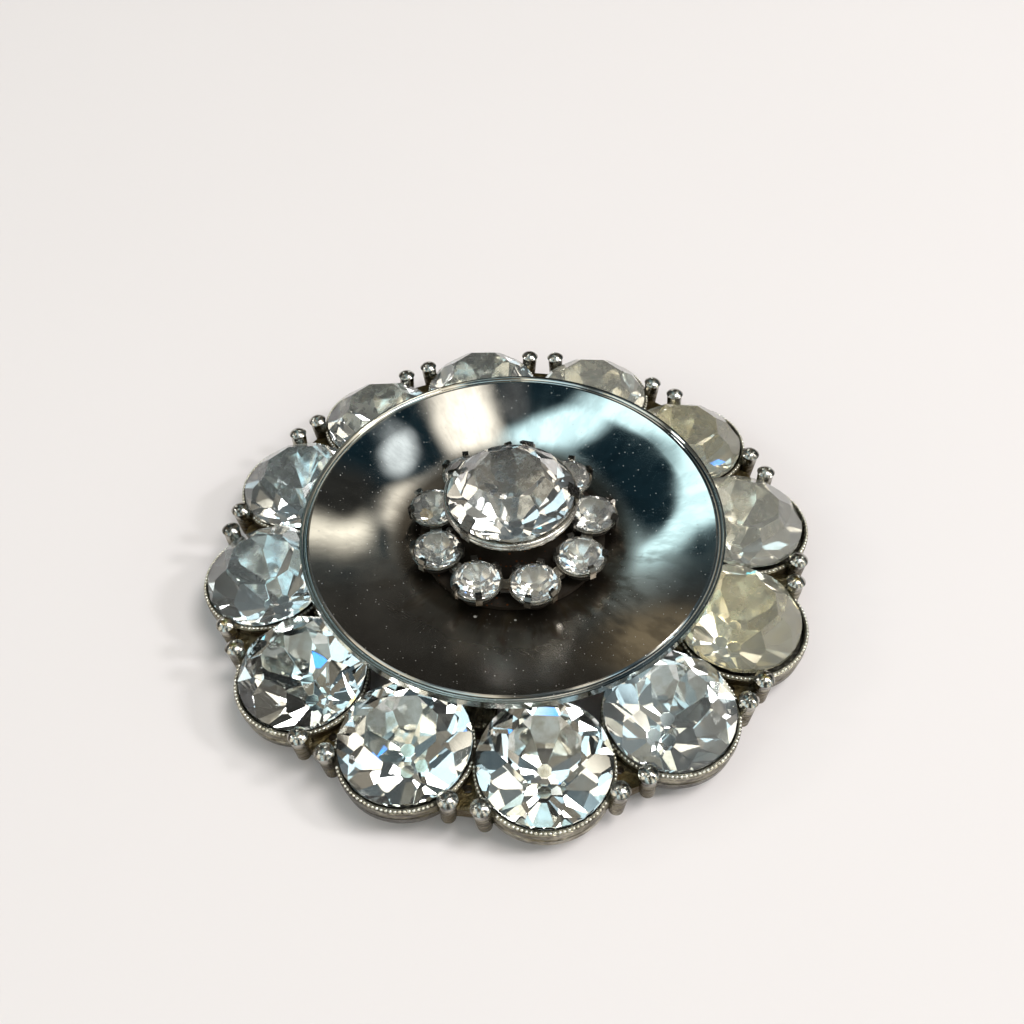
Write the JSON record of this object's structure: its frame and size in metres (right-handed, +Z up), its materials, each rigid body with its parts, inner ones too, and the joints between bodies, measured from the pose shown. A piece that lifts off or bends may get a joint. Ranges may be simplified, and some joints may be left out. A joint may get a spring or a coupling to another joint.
{
  "type": "rhinestone brooch",
  "caption": "Round rhinestone brooch: a ring of large prong-set stones round a domed mirror dish with a small-stone rosette and a raised centre stone.",
  "frame": {"origin": "on the surface that the brooch lies on, under the middle of its outline", "axes": "+Z up through the stones, -Y towards the side seen nearest in the source picture, +X to its right"},
  "size_m": [0.0612, 0.061, 0.0161],
  "materials": {
    "cast_metal": "worn silver-tone cast metal",
    "mirror_metal": "mirror-polished silver-tone plate, scuffed",
    "stamped_metal": "worn silver-tone stamped metal",
    "setting_metal": "polished silver-tone metal",
    "pin_metal": "satin steel",
    "crystal": "clear cut glass, foiled behind",
    "yellowed_crystal": "clear cut glass with yellowed foil",
    "small_crystal": "clear cut glass, foiled behind",
    "centre_crystal": "clear cut glass, foiled behind"
  },
  "bodies": {
    "root": {"frame": "cast_metal", "dish": "mirror_metal", "rosette": "stamped_metal", "centre_setting": "setting_metal", "pin_back": "pin_metal", "centre_stone": "centre_crystal", "stone_01": "crystal", "stone_02": "crystal", "stone_03": "crystal", "stone_04": "crystal", "stone_05": "crystal", "stone_06": "crystal", "stone_07": "crystal", "stone_08": "yellowed_crystal", "stone_09": "yellowed_crystal", "stone_10": "yellowed_crystal", "stone_11": "yellowed_crystal", "stone_12": "crystal", "small_stone_1": "small_crystal", "small_stone_2": "small_crystal", "small_stone_3": "small_crystal", "small_stone_4": "small_crystal", "small_stone_5": "small_crystal", "small_stone_6": "small_crystal", "small_stone_7": "small_crystal", "small_stone_8": "small_crystal", "small_stone_9": "small_crystal"}
  },
  "joints": []
}
